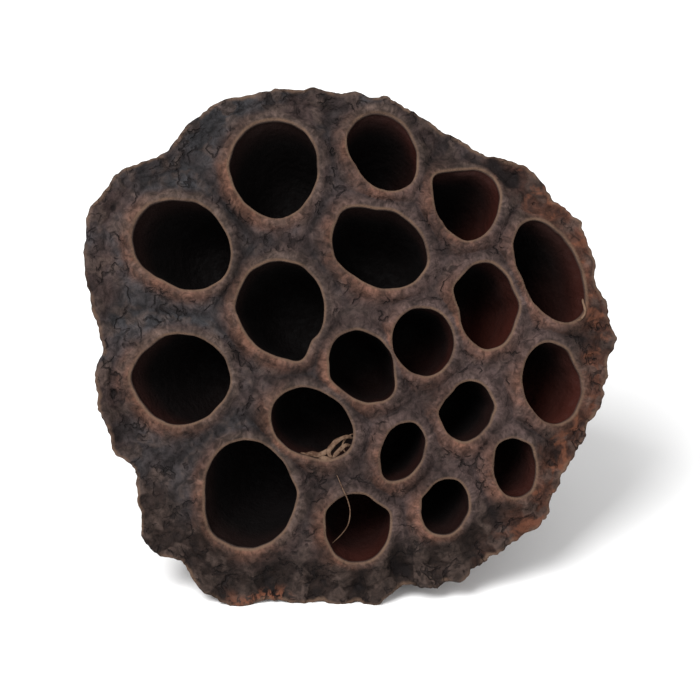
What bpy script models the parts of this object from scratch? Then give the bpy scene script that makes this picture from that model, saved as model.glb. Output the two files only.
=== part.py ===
"""A dried lotus pod, lying on its flank with its seed holes turned forward and up.

Run with: blender --background --python part.py

The pod is one grown piece. It is shaped upright in its own frame, in millimetres, with the
middle of its face at the origin and its stem pointing down. It is then tipped forward until
the lowest lobes of its rim and the cut end of its stem touch the table.
"""

import collections
import math

import bmesh
import bpy
from mathutils import Matrix, Vector

MM = 0.001

Bump = collections.namedtuple("Bump", "towards size spread")
Hole = collections.namedtuple("Hole", "across up long wide narrow_end taper")
Wave = collections.namedtuple("Wave", "per_turn size phase")

# Distance from the middle of the face to the rim, every 7.5 degrees anticlockwise from the right.
RIM_MM = (
    43.6, 43.0, 42.7, 42.8, 42.9, 41.8, 41.6, 39.8, 38.5, 38.8, 40.6, 41.3,
    42.2, 42.8, 44.2, 45.0, 45.7, 45.4, 44.3, 47.6, 48.4, 47.4, 45.5, 42.4,
    41.4, 42.2, 43.0, 42.5, 41.5, 43.9, 47.2, 45.7, 47.2, 46.9, 43.6, 42.8,
    42.8, 41.6, 41.0, 42.2, 41.9, 42.3, 42.9, 42.2, 40.9, 41.5, 42.2, 42.5,
)
MEAN_RIM_MM = 43.2
# Lobes and notches of the rim along its bottom.
RIM_LOBES = (
    Bump(245.5, 0.3, 2.6), Bump(250, -0.8, 2.6), Bump(259, 0.3, 3.0),
    Bump(264, -0.5, 2.0), Bump(275, 1.5, 2.8), Bump(282, -0.6, 2.0),
    Bump(289, 0.5, 2.6), Bump(295, 0.9, 2.4), Bump(304, -0.4, 2.4),
)
# The rim rises and falls as the dried skin curls, and its edge is ruffled all round.
RIM_CURL_MM = (Wave(2, 0.9, 2.4), Wave(5, 0.45, 0.6))
RIM_LIP_MM = 1.0
RUFFLE_MM = 0.28
RUFFLES = 38
RUFFLE_PHASE = 5.6
RUFFLE_WANDER = (Wave(3, 1.4, 0.5), Wave(5, 0.8, 0.0), Wave(11, 0.6, 1.0))
RUFFLE_SWELL = (Wave(4, 0.35, 1.0), Wave(9, 0.3, 2.0))

# Each seed hole: its middle on the face, its length and width, the direction of its narrow
# end in degrees, and how much narrower that end is than the other.
SEED_HOLES = (
    Hole(-12.7, 29.2, 16.5, 14.7, -80, 0.12),
    Hole(5.2, 32.1, 13.7, 11.0, -60, 0.05),
    Hole(19.3, 23.5, 12.4, 10.9, -85, 0.20),
    Hole(-27.9, 16.7, 17.4, 14.5, -35, 0.06),
    Hole(4.8, 16.1, 16.4, 13.1, -25, 0.03),
    Hole(32.9, 12.4, 18.2, 10.3, -65, 0.00),
    Hole(-11.4, 6.0, 16.2, 14.3, -75, 0.06),
    Hole(22.4, 6.6, 14.5, 9.9, -84, 0.02),
    Hole(12.0, 0.6, 11.4, 10.2, -75, 0.05),
    Hole(2.0, -3.5, 12.7, 10.2, -55, 0.03),
    Hole(-28.1, -5.6, 15.1, 15.9, -100, 0.08),
    Hole(-6.3, -13.0, 14.5, 11.1, -30, 0.05),
    Hole(33.3, -6.2, 13.6, 9.9, -80, 0.00),
    Hole(19.2, -10.8, 10.1, 8.2, 70, 0.00),
    Hole(8.5, -17.4, 10.0, 7.0, 248, 0.04),
    Hole(27.1, -20.2, 9.9, 7.2, -83, 0.00),
    Hole(-17.0, -24.5, 18.0, 15.3, 95, 0.04),
    Hole(1.1, -30.1, 11.6, 10.6, -95, 0.03),
    Hole(15.6, -26.6, 9.6, 7.7, 70, 0.00),
)

# The face swells towards its middle. Its margin dips in a gutter, and falls away on the right.
DOME_MM = 1.6
MARGIN_FROM = 0.80
MARGIN_DROP_MM = 2.6
MARGIN_DROP_TOWARDS = math.radians(-15)
GUTTER_MM = 0.9
WEB_SINK_MM = 0.7
WEB_EDGE_MM = 4.2

# A collar swells round each hole: its foot lies this far out, or nearer where room is short.
COLLAR_MM = 1.9
COLLAR_SHARE_OF_GAP = 0.40
COLLAR_SHARE_OF_MARGIN = 0.80
COLLAR_RISE_MM = 0.6
CREST_SHARE = 0.45

# The walls of a seed chamber: depth under the face, and share of the hole's size there.
# Small holes are shallower, and all lean in towards one point on the pod's axis.
CHAMBER_MM = ((0.0, 1.0), (3.0, 0.99), (7.5, 0.93), (11.5, 0.78), (14.0, 0.48))
CHAMBER_FULL_LENGTH_MM = 16.0
CHAMBER_LEAST_DEPTH = 0.75
CHAMBER_FOCUS_MM = 62.0

# The flank: depth under the face, and share of the rim's radius.
FLANK_MM = (
    (1.2, 0.985), (4.5, 0.93), (10.0, 0.845), (16.5, 0.745), (23.0, 0.645),
    (30.0, 0.535), (37.0, 0.425), (43.5, 0.32), (49.0, 0.205), (52.5, 0.125),
)
NECK_MM = 55.0
RUFFLE_ENDS_MM = 4.0
RIM_SHAPE_ENDS_MM = 12.0
RIBS = 20
RIB_WANDER = (Wave(2, 0.9, 0.7), Wave(3, 0.7, 2.1), Wave(7, 0.4, 0.0))
RIB_MM = 1.9
RIB_MEAN = 0.7
RIB_SHARE_AT_RIM = 0.3
RIB_SHARE_AT_NECK = 0.25

# The stub of the stem: depth and radius. It bends aside and flares at its cut end.
STEM_MM = ((NECK_MM, 3.9), (59.0, 3.1), (64.0, 3.1), (68.0, 3.8), (69.5, 4.0))
STEM_BEND_MM = Vector((6.5, -1.5))
STEM_BENDS_FROM_MM = 44.0

# How the pod lies: tipped forward from upright, its low points worn flat by this much.
TIP_DEG = 60.6
FLAT_MM = 0.5

RIM_SIDES = 144
HOLE_SIDES_PER_MM = 1.5
LIP_POINTS_PER_SIDE = 2

SKIN_COLOUR = (0.048, 0.037, 0.031, 1.0)
SKIN_ROUGHNESS = 0.85


def eased(share):
    """0 to 1 with a soft start and end."""
    share = min(max(share, 0.0), 1.0)
    return share * share * (3 - 2 * share)


def smooth_ring(values, turn):
    """The value at an angle of a closed ring of even steps, curved through its neighbours."""
    place = (turn / math.tau) % 1.0 * len(values)
    step = int(place)
    t = place - step
    before, here, after, beyond = (values[(step + k) % len(values)] for k in (-1, 0, 1, 2))
    slope = after - before
    curve = 2 * before - 5 * here + 4 * after - beyond
    twist = 3 * (here - after) + beyond - before
    return here + 0.5 * t * (slope + t * (curve + t * twist))


def waves(turn, parts):
    return sum(wave.size * math.sin(wave.per_turn * turn + wave.phase) for wave in parts)


def on_circle(turn, radius):
    return Vector((radius * math.cos(turn), radius * math.sin(turn)))


def rib(turn):
    """The flank's folds round the pod: broad crests at 1 and sharp creases at 0."""
    return abs(math.sin((RIBS * turn + waves(turn, RIB_WANDER)) / 2))


def bump_at(turn, bump):
    """A bump's size at an angle, fading to either side over its spread in degrees."""
    off = (turn - math.radians(bump.towards) + math.pi) % math.tau - math.pi
    return bump.size * math.exp(-((off / math.radians(bump.spread)) ** 2))


def ruffle(turn):
    """The rim's small folds all round, with its lobes and notches."""
    swell = 1 + waves(turn, RUFFLE_SWELL)
    folds = RUFFLE_MM * swell * math.sin(RUFFLES * turn + waves(turn, RUFFLE_WANDER) + RUFFLE_PHASE)
    return folds + sum(bump_at(turn, bump) for bump in RIM_LOBES)


def rim_radius(turn):
    fold = RIB_SHARE_AT_RIM * RIB_MM * (rib(turn) - RIB_MEAN)
    return smooth_ring(RIM_MM, turn) + fold + ruffle(turn)


def face_height(spot):
    """Height of the face at a point on it, before the collars and the web between them."""
    turn = math.atan2(spot.y, spot.x)
    share = spot.length / rim_radius(turn)
    margin = eased((share - MARGIN_FROM) / (1 - MARGIN_FROM))
    drop = MARGIN_DROP_MM * 0.5 * (1 + math.cos(turn - MARGIN_DROP_TOWARDS))
    gutter = GUTTER_MM * math.sin(math.pi * margin)
    return DOME_MM * (1 - share**2) - gutter - margin * (drop - waves(turn, RIM_CURL_MM))


def rim_edge(inward):
    """The rim, or a ring just inside it, at the height where the face ends."""
    def place(turn):
        radius = rim_radius(turn)
        return on_circle(turn, radius - inward).to_3d() + Vector((0, 0, face_height(on_circle(turn, radius))))
    return place


def hole_middle(hole):
    return Vector((hole.across, hole.up))


def hole_edge(hole, turn, spread=0.0, share=1.0):
    """From a hole's middle to its outline, spread outwards by a distance or scaled by a share."""
    along = (share * hole.long / 2 + spread) * math.cos(turn)
    beside = (share * hole.wide / 2 + spread) * math.sin(turn) * (1 - hole.taper * math.cos(turn))
    return Matrix.Rotation(math.radians(hole.narrow_end), 2) @ Vector((along, beside))


def hole_sides(hole):
    return 2 * round(HOLE_SIDES_PER_MM * (hole.long + hole.wide) / 4)


def lip_points(hole):
    count = LIP_POINTS_PER_SIDE * hole_sides(hole)
    return [hole_middle(hole) + hole_edge(hole, math.tau * k / count) for k in range(count)]


LIPS = {hole: lip_points(hole) for hole in SEED_HOLES}


def collar_width(hole, turn):
    """How far out the collar's foot lies, so that neighbouring collars never meet."""
    here = hole_middle(hole) + hole_edge(hole, turn)
    gap = min((here - point).length for other, lip in LIPS.items() if other != hole for point in lip)
    margin = rim_radius(math.atan2(here.y, here.x)) - here.length - RIM_LIP_MM
    return min(COLLAR_MM, COLLAR_SHARE_OF_GAP * gap, COLLAR_SHARE_OF_MARGIN * margin)


def collar_foot(hole):
    return lambda turn: (hole_middle(hole) + hole_edge(hole, turn, collar_width(hole, turn))).to_3d()


def collar_crest(hole):
    def place(turn):
        spot = hole_middle(hole) + hole_edge(hole, turn, CREST_SHARE * collar_width(hole, turn))
        return spot.to_3d() + Vector((0, 0, face_height(spot) + COLLAR_RISE_MM))
    return place


def chamber_wall(hole, depth, share):
    """A ring of the seed chamber, which leans in and narrows as it deepens."""
    small = 1 - hole.long / CHAMBER_FULL_LENGTH_MM
    sunk = depth * (1 - (1 - CHAMBER_LEAST_DEPTH) * small)
    lean = 1 - sunk / CHAMBER_FOCUS_MM

    def place(turn):
        lip = hole_middle(hole) + hole_edge(hole, turn)
        surface = face_height(lip) if depth == 0 else face_height(hole_middle(hole))
        spot = hole_middle(hole) * lean + hole_edge(hole, turn, share=share)
        return spot.to_3d() + Vector((0, 0, surface - sunk))
    return place


def on_axis(turn, radius, depth, rise=0.0):
    """A point of the flank or stem, round the pod's axis as it bends aside near the stem."""
    bends_over = STEM_MM[-1][0] - STEM_BENDS_FROM_MM
    bend = STEM_BEND_MM * max(0.0, depth - STEM_BENDS_FROM_MM) / bends_over
    return (on_circle(turn, radius) + bend).to_3d() + Vector((0, 0, rise - depth))


def flank_wall(depth, share):
    """A ring of the flank, following the rim near the face and round near the neck."""
    to_neck = eased(depth / NECK_MM)

    def place(turn):
        outline = smooth_ring(RIM_MM, turn) * (1 - to_neck) + MEAN_RIM_MM * to_neck
        fold = RIB_MM * (1 - (1 - RIB_SHARE_AT_NECK) * to_neck) * (rib(turn) - RIB_MEAN)
        ruffled = (1 - eased(depth / RUFFLE_ENDS_MM)) * ruffle(turn)
        rise = (1 - eased(depth / RIM_SHAPE_ENDS_MM)) * rim_edge(0.0)(turn).z
        return on_axis(turn, share * outline + fold + ruffled, depth, rise)
    return place


def stem_wall(depth, radius):
    return lambda turn: on_axis(turn, radius, depth)


def flat_on_face(place):
    return lambda turn: place(turn).xy.to_3d()


def new_ring(mesh, turn_of, sides, place):
    """A closed ring of edges, each vertex keeping its angle so that later rings can follow it."""
    verts = bmesh.ops.create_circle(mesh, segments=sides, radius=1.0)["verts"]
    for k, vert in enumerate(verts):
        vert[turn_of] = math.tau * k / sides
        vert.co = place(vert[turn_of])
    return list({edge for vert in verts for edge in vert.link_edges})


def next_ring(mesh, turn_of, ring, place):
    """Extrudes a ring of edges and sets each new vertex by its angle."""
    grown = bmesh.ops.extrude_edge_only(mesh, edges=ring)["geom"]
    for vert in grown:
        if isinstance(vert, bmesh.types.BMVert):
            vert.co = place(vert[turn_of])
    return [edge for edge in grown if isinstance(edge, bmesh.types.BMEdge) and edge.is_boundary]


def fill_web(mesh, turn_of, outer, feet):
    """The skin between the collars and the rim, with its long edges split so that it can bend."""
    rings = [outer, *feet]
    bmesh.ops.triangle_fill(mesh, use_beauty=True, edges=[edge for ring in rings for edge in ring])
    for _ in range(3):
        inner = [edge for edge in mesh.edges if not edge.is_boundary]
        long_edges = [edge for edge in inner if edge.calc_length() > WEB_EDGE_MM]
        bmesh.ops.subdivide_edges(mesh, edges=long_edges, cuts=1)
        bmesh.ops.triangulate(mesh, faces=mesh.faces)
        inner = [edge for edge in mesh.edges if not edge.is_boundary]
        bmesh.ops.beautify_fill(mesh, faces=mesh.faces, edges=inner)
    for vert in mesh.verts:
        vert.co.z = face_height(vert.co.xy) - WEB_SINK_MM
    for vert in {vert for edge in outer for vert in edge.verts}:
        vert.co = rim_edge(RIM_LIP_MM)(vert[turn_of])


def build_pod():
    """The pod's mesh in its own frame, in millimetres."""
    mesh = bmesh.new()
    turn_of = mesh.verts.layers.float.new("turn")
    outer = new_ring(mesh, turn_of, RIM_SIDES, flat_on_face(rim_edge(RIM_LIP_MM)))
    feet = [new_ring(mesh, turn_of, hole_sides(hole), collar_foot(hole)) for hole in SEED_HOLES]
    fill_web(mesh, turn_of, outer, feet)

    for hole, ring in zip(SEED_HOLES, feet):
        ring = next_ring(mesh, turn_of, ring, collar_crest(hole))
        for depth, share in CHAMBER_MM:
            ring = next_ring(mesh, turn_of, ring, chamber_wall(hole, depth, share))
        bmesh.ops.contextual_create(mesh, geom=ring)

    ring = next_ring(mesh, turn_of, outer, rim_edge(0.0))
    for depth, share in FLANK_MM:
        ring = next_ring(mesh, turn_of, ring, flank_wall(depth, share))
    for depth, radius in STEM_MM:
        ring = next_ring(mesh, turn_of, ring, stem_wall(depth, radius))
    bmesh.ops.contextual_create(mesh, geom=ring)
    bmesh.ops.recalc_face_normals(mesh, faces=mesh.faces)
    return mesh


def lay_down(mesh):
    """Tips the pod onto the table, centred over the origin, and flattens its low points."""
    mesh.transform(Matrix.Rotation(math.radians(TIP_DEG), 4, "X"))
    low = Vector(min(vert.co[axis] for vert in mesh.verts) for axis in range(3))
    high = Vector(max(vert.co[axis] for vert in mesh.verts) for axis in range(3))
    to_origin = Vector((-(low.x + high.x) / 2, -(low.y + high.y) / 2, -low.z - FLAT_MM))
    bmesh.ops.translate(mesh, verts=mesh.verts, vec=to_origin)
    everything = [*mesh.verts, *mesh.edges, *mesh.faces]
    table = {"plane_co": (0, 0, 0), "plane_no": (0, 0, 1)}
    cut = bmesh.ops.bisect_plane(mesh, geom=everything, dist=1e-5, clear_inner=True, **table)
    rims = [edge for edge in cut["geom_cut"] if isinstance(edge, bmesh.types.BMEdge)]
    bmesh.ops.holes_fill(mesh, edges=rims)


def skin_material():
    skin = bpy.data.materials.new("dried_skin")
    skin.use_nodes = True
    shader = skin.node_tree.nodes["Principled BSDF"]
    shader.inputs["Base Color"].default_value = SKIN_COLOUR
    shader.inputs["Roughness"].default_value = SKIN_ROUGHNESS
    shader.inputs["Metallic"].default_value = 0.0
    return skin


def main():
    for obj in list(bpy.data.objects):
        bpy.data.objects.remove(obj)
    collection = bpy.data.collections.new("dried_lotus_pod")
    bpy.context.scene.collection.children.link(collection)
    mesh = build_pod()
    lay_down(mesh)
    bmesh.ops.scale(mesh, vec=(MM, MM, MM), verts=mesh.verts)
    data = bpy.data.meshes.new("lotus_pod")
    mesh.to_mesh(data)
    mesh.free()
    data.materials.append(skin_material())
    data.shade_smooth()
    collection.objects.link(bpy.data.objects.new("lotus_pod", data))


main()
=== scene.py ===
"""The look of a dried lotus pod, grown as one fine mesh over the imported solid.

The pod is shaped upright in its own frame, in millimetres: the middle of its face is the
origin, x runs to the right of the face, y up it, and z out of it. It is then laid down where
the solid lies. Each vertex keeps where it is on the pod, such as how far from the nearest
hole's lip, how deep in a hole or how far down the flank, and the skin's colours and wrinkles
follow that. A few dry shreds of membrane are pieces of their own.
"""

import collections
import math

import bmesh
import bpy
import numpy as np
from mathutils import Matrix, Vector, noise

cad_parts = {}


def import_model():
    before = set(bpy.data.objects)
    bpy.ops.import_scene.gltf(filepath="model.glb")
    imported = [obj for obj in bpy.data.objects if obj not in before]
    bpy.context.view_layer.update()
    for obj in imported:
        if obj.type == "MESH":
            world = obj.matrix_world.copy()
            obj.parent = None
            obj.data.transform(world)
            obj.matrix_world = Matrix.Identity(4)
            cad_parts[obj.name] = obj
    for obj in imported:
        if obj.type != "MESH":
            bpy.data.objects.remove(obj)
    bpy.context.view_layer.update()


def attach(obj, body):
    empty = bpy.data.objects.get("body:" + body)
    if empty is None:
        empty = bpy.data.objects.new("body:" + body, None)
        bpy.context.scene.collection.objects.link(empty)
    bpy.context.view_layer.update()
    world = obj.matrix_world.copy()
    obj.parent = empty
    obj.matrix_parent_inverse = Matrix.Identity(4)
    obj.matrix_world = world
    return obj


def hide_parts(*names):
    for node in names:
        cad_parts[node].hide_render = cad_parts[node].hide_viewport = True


MM = 0.001

Bump = collections.namedtuple("Bump", "towards size spread")
Fold = collections.namedtuple("Fold", "start end depth width")
Hole = collections.namedtuple("Hole", "across up long wide narrow_end taper red bumps")
Shred = collections.namedtuple("Shred", "points width thickness")
Wave = collections.namedtuple("Wave", "per_turn size phase")

# How the solid lies: its tilt, and where the middle of its face is.
TIP_DEG = 60.6
FACE_MIDDLE_MM = Vector((0.113, -21.173, 38.409))

# The rim, as the solid has it, with a finer, ragged edge.
RIM_MM = (
    43.6, 43.0, 42.7, 42.8, 42.9, 41.8, 41.6, 39.8, 38.5, 38.8, 40.6, 41.3,
    42.2, 42.8, 44.2, 45.0, 45.7, 45.4, 44.3, 47.6, 48.4, 47.4, 45.5, 42.4,
    41.4, 42.2, 43.0, 42.5, 41.5, 43.9, 47.2, 45.7, 47.2, 46.9, 43.6, 42.8,
    42.8, 41.6, 41.0, 42.2, 41.9, 42.3, 42.9, 42.2, 40.9, 41.5, 42.2, 42.5,
)
MEAN_RIM_MM = 43.2
RIM_LOBES = (
    Bump(245.5, 0.3, 2.6), Bump(250, -0.8, 2.6), Bump(259, 0.3, 3.0),
    Bump(264, -0.5, 2.0), Bump(275, 1.5, 2.8), Bump(282, -0.6, 2.0),
    Bump(289, 0.5, 2.6), Bump(295, 0.9, 2.4), Bump(304, -0.4, 2.4),
)
RIM_CURL_MM = (Wave(2, 0.9, 2.4), Wave(5, 0.45, 0.6))
RUFFLE_MM = 0.18
RUFFLES = 38
RUFFLE_PHASE = 5.6
RUFFLE_WANDER = (Wave(3, 1.4, 0.5), Wave(5, 0.8, 0.0), Wave(11, 0.6, 1.0))
RUFFLE_SWELL = (Wave(4, 0.35, 1.0), Wave(9, 0.3, 2.0))
CRINKLE_MM = 0.5
CRINKLES_PER_MM = 0.42
FINE_CRINKLE_SHARE = 0.75

# The seed holes, as the solid has them, with how red their chamber's walls are and with the
# corners and dents of their edges: each bump's direction on the face in degrees, its size
# outwards, and its spread in degrees.
SEED_HOLES = (
    Hole(-12.7, 29.2, 16.5, 14.7, -80, 0.12, 0.1, (Bump(150, -0.3, 30),)),
    Hole(5.2, 32.1, 13.7, 11.0, -60, 0.05, 0.7, (Bump(-150, -0.6, 28), Bump(-45, 0.4, 22))),
    Hole(19.3, 23.5, 12.4, 10.9, -85, 0.20, 0.9, (Bump(140, 0.9, 16), Bump(100, -0.4, 20))),
    Hole(-27.9, 16.7, 17.4, 14.5, -35, 0.06, 0.1, (Bump(-120, -0.5, 25), Bump(100, -0.5, 22))),
    Hole(4.8, 16.1, 16.4, 13.1, -25, 0.03, 0.1, (Bump(133, 0.8, 15), Bump(95, -0.5, 14), Bump(-130, -0.5, 25))),
    Hole(32.9, 12.4, 18.2, 10.3, -65, 0.00, 0.6, (Bump(-160, -0.4, 26), Bump(-48, 0.4, 16))),
    Hole(-11.4, 6.0, 16.2, 14.3, -75, 0.06, 0.0, (Bump(-70, 1.0, 12), Bump(-46, -0.45, 12), Bump(178, 0.4, 14))),
    Hole(22.4, 6.6, 14.5, 9.9, -84, 0.02, 0.9, (Bump(152, 0.7, 16), Bump(-165, -0.35, 22), Bump(0, 0.5, 16))),
    Hole(12.0, 0.6, 11.4, 10.2, -75, 0.05, 0.5, ()),
    Hole(2.0, -3.5, 12.7, 10.2, -55, 0.03, 0.4, (Bump(-160, 0.5, 16), Bump(-42, 0.4, 16), Bump(-10, -0.3, 18))),
    Hole(-28.1, -5.6, 15.1, 15.9, -100, 0.08, 0.3, (Bump(180, 0.5, 16), Bump(135, -0.6, 18), Bump(-5, 0.3, 16))),
    Hole(-6.3, -13.0, 14.5, 11.1, -30, 0.05, 0.3, (Bump(-100, -0.4, 20),)),
    Hole(33.3, -6.2, 13.6, 9.9, -80, 0.00, 0.8, (Bump(40, -0.4, 20),)),
    Hole(19.2, -10.8, 10.1, 8.2, 70, 0.00, 0.1, (Bump(-178, 0.5, 16), Bump(10, 0.4, 16), Bump(130, -0.3, 16))),
    Hole(8.5, -17.4, 10.0, 7.0, 248, 0.04, 0.2, (Bump(-118, 0.4, 16),)),
    Hole(27.1, -20.2, 9.9, 7.2, -83, 0.00, 0.5, (Bump(50, 0.4, 16), Bump(125, 0.3, 16), Bump(-50, 0.2, 14))),
    Hole(-17.0, -24.5, 18.0, 15.3, 95, 0.04, 0.0, (Bump(180, -0.5, 28), Bump(230, 0.5, 18), Bump(0, 0.5, 16))),
    Hole(1.1, -30.1, 11.6, 10.6, -95, 0.03, 0.6, (Bump(150, 0.5, 16), Bump(55, -0.5, 18), Bump(25, 0.4, 14))),
    Hole(15.6, -26.6, 9.6, 7.7, 70, 0.00, 0.1, (Bump(160, 0.3, 14),)),
)
LIP_WOBBLE_MM = 0.16

# The face, as the solid has it, with a collar round each hole.
DOME_MM = 1.6
MARGIN_FROM = 0.80
MARGIN_DROP_MM = 2.6
MARGIN_DROP_TOWARDS = math.radians(-15)
GUTTER_MM = 0.9
WEB_SINK_MM = 0.75
COLLAR_RISE_MM = 1.3
COLLAR_CREST_MM = 0.6
COLLAR_SPREAD_MM = 1.25
COLLAR_WANDER_MM = 0.3

# Creases run midway between neighbouring collars, and fade in and out.
CREASE_MM = 0.75
CREASE_DEPTH_MM = 0.4
CREASE_WANDER_MM = 1.1
RIM_AS_LIP_MM = 1.2
# The valley between two collars, darkened there as painted shade, and how finely the skin's grain runs round each lip.
VALLEY_MM = 1.7
GRAIN_RADIUS_MM = 7.0
# The margin's folds run in from the rim, boldest along its bottom.
FOLD_MM = 0.32
BOTTOM_FOLDS = 0.9
LOBE_FOLD_MM = 0.75
FOLD_REACH_MM = 4.5
DEEPEST_AT_RIM_MM = 0.1
DEEPER_INWARD = 0.35
# Deep folds of the margin: both ends on the face, with the depth and half the width.
DEEP_FOLDS = (
    Fold((20.4, 31.9), (26.8, 27.6), 1.6, 1.4),
    Fold((2.6, -36.5), (0.4, -41.8), 0.55, 0.9),
    Fold((6.8, -35.8), (9.4, -40.5), 0.6, 0.9),
    Fold((-26.8, -29.5), (-30.6, -33.0), 0.4, 1.0),
    Fold((-14.6, -34.6), (-14.0, -39.6), 0.45, 1.0),
    Fold((-38.6, 4.0), (-43.0, 5.4), 0.35, 1.0),
    Fold((-37.0, -14.5), (-40.5, -17.0), 0.35, 1.0),
)

# The seed chambers: depth under the face, share of the hole's size, and how far apart the
# fine mesh's rings lie on the way down.
CHAMBER_MM = (
    (0.0, 1.0), (0.2, 0.985), (0.5, 0.985), (1.0, 1.01), (1.8, 1.02), (3.0, 1.0), (4.5, 0.985),
    (6.0, 0.96), (7.5, 0.93), (9.0, 0.89), (10.5, 0.83), (11.7, 0.76), (12.8, 0.66), (13.6, 0.54), (14.0, 0.4),
)
CHAMBER_FULL_LENGTH_MM = 16.0
CHAMBER_LEAST_DEPTH = 0.75
CHAMBER_FOCUS_MM = 62.0
# Painted light: the side of each chamber's wall that is painted as lit, with more of the hole's red.
LIT_WALL_TOWARDS = math.radians(-65)

# The flank and the stem, as the solid has them.
FLANK_MM = (
    (0.0, 1.0), (1.2, 0.985), (4.5, 0.93), (10.0, 0.845), (16.5, 0.745), (23.0, 0.645),
    (30.0, 0.535), (37.0, 0.425), (43.5, 0.32), (49.0, 0.205), (52.5, 0.125), (55.0, 0.09),
)
NECK_MM = 55.0
RUFFLE_ENDS_MM = 4.0
RIM_SHAPE_ENDS_MM = 12.0
RIBS = 20
RIB_WANDER = (Wave(2, 0.9, 0.7), Wave(3, 0.7, 2.1), Wave(7, 0.4, 0.0))
RIB_MM = 1.9
RIB_MEAN = 0.7
RIB_SHARE_AT_RIM = 0.3
RIB_SHARE_AT_NECK = 0.25
FINE_RIBS = 53
FINE_RIB_MM = 0.7
STEM_MM = ((NECK_MM, 3.9), (59.0, 3.1), (64.0, 3.1), (68.0, 3.8), (69.5, 4.0))
STEM_BEND_MM = Vector((6.5, -1.5))
STEM_BENDS_FROM_MM = 44.0

# Dry shreds of membrane in three of the holes. The last number of each point is its height
# over the face's own level there, and both ends are sunk in the wall or the lip.
SHREDS = {
    "torn_membrane": (
        Shred(((0.7, -15.4, -1.4), (-0.5, -15.0, -0.5), (-2.1, -15.6, -0.2), (-3.4, -16.9, 0.0),
               (-3.5, -18.0, 0.1), (-2.4, -19.2, -0.4)), 0.85, 0.16),
        Shred(((0.4, -16.6, -1.2), (-0.8, -16.4, -0.3), (-1.8, -17.2, -0.1), (-2.6, -18.1, 0.1),
               (-3.1, -19.4, -0.4)), 0.75, 0.14),
        Shred(((-2.6, -16.4, -0.3), (-3.9, -17.4, -0.1), (-5.2, -18.0, 0.0), (-6.4, -17.8, -0.2),
               (-7.3, -17.9, -0.1), (-8.3, -17.8, -0.9)), 0.9, 0.15),
        Shred(((-2.2, -19.4, -0.4), (-3.6, -18.7, 0.2), (-4.8, -18.7, 0.1), (-6.0, -19.6, -0.5)), 0.9, 0.16),
        Shred(((0.9, -14.4, -0.9), (-0.4, -14.9, -0.9), (-1.2, -15.9, -0.7), (-1.3, -16.9, -0.3),
               (-0.6, -17.8, -0.4), (0.0, -17.6, -1.0)), 0.34, 0.12),
    ),
    "membrane_curl": (
        Shred(((39.6, 9.5, -1.2), (38.9, 8.7, -0.9), (38.5, 7.6, -0.2), (38.7, 6.5, 0.5),
               (38.8, 5.6, 0.75), (38.3, 4.7, 0.7), (37.5, 4.1, 0.4), (36.6, 3.9, -0.1)), 0.4, 0.14),
    ),
    "stray_fibre": (
        Shred(((-2.6, -20.6, -1.0), (-1.9, -22.2, -0.2), (-1.2, -23.8, 0.8), (-0.5, -25.4, 0.2),
               (-0.1, -27.3, -0.5), (-0.4, -29.4, -1.2), (-1.4, -31.0, -1.9), (-3.4, -33.0, -2.7)), 0.2, 0.11),
    ),
}
SHRED_SIDES = 8
SHRED_STEP_MM = 0.25

# How fine the mesh is: the spacing on the face, and of the rings down the flank.
FACE_STEP_MM = 0.42
LONG_EDGE_MM = 0.57
RIM_STEPS = 768
FLANK_STEP_MM = 1.0
HALVED_AT_MM = (12.0, 36.0, 50.0)

# The camera: where it looks from, how much of the frame's width the pod fills, and its lens.
LOOK_AZIMUTH_DEG = 0.0
LOOK_ELEVATION_DEG = 28.0
LENS_MM = 150.0
SENSOR_MM = 36.0
FRAME_WIDTH_MM = 116.0
LOOK_AT_MM = Vector((0.0, -20.0, 37.0))


def eased(share):
    """0 to 1 with a soft start and end."""
    share = np.clip(share, 0.0, 1.0)
    return share * share * (3 - 2 * share)


def smooth_ring(values, turn):
    """The value at each angle of a closed ring of even steps, curved through its neighbours."""
    values = np.asarray(values)
    place = (turn / math.tau) % 1.0 * len(values)
    step = np.floor(place).astype(int)
    t = place - step
    before, here, after, beyond = (values[(step + k) % len(values)] for k in (-1, 0, 1, 2))
    slope = after - before
    curve = 2 * before - 5 * here + 4 * after - beyond
    twist = 3 * (here - after) + beyond - before
    return here + 0.5 * t * (slope + t * (curve + t * twist))


def smooth_line(table, x):
    """The value at x of a table of (x, value) pairs, curved through them."""
    xs, ys = (np.array(column, float) for column in zip(*table))
    slopes = np.gradient(ys, xs)
    k = int(np.clip(np.searchsorted(xs, x) - 1, 0, len(xs) - 2))
    width = xs[k + 1] - xs[k]
    t = (x - xs[k]) / width
    start = ys[k] * (1 + 2 * t) * (1 - t) ** 2 + slopes[k] * width * t * (1 - t) ** 2
    end = ys[k + 1] * t**2 * (3 - 2 * t) - slopes[k + 1] * width * t**2 * (1 - t)
    return start + end


def waves(turn, parts):
    return sum(wave.size * np.sin(wave.per_turn * turn + wave.phase) for wave in parts)


def noise_at(points, scale, seed=0.0):
    """Smooth noise from about -1 to 1 at each point."""
    shift = Vector((seed * 17.3, seed * -9.1, seed * 5.7))
    return np.array([noise.noise(Vector(point) * scale + shift) for point in points])


def on_circle(turn, radius, height=0.0):
    return np.stack([radius * np.cos(turn), radius * np.sin(turn), np.broadcast_to(height, turn.shape)], axis=1)


def rib(turn):
    """The flank's folds round the pod: broad crests at 1 and sharp creases at 0."""
    return np.abs(np.sin((RIBS * turn + waves(turn, RIB_WANDER)) / 2))


def bump_at(turn, bump):
    """A bump's size at each angle, fading to either side over its spread in degrees."""
    off = (turn - math.radians(bump.towards) + math.pi) % math.tau - math.pi
    return bump.size * np.exp(-((off / math.radians(bump.spread)) ** 2))


def folds(turn):
    """The margin's small folds all round, from about -1 to 1."""
    swell = 1 + waves(turn, RUFFLE_SWELL)
    return swell * np.sin(RUFFLES * turn + waves(turn, RUFFLE_WANDER) + RUFFLE_PHASE)


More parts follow.
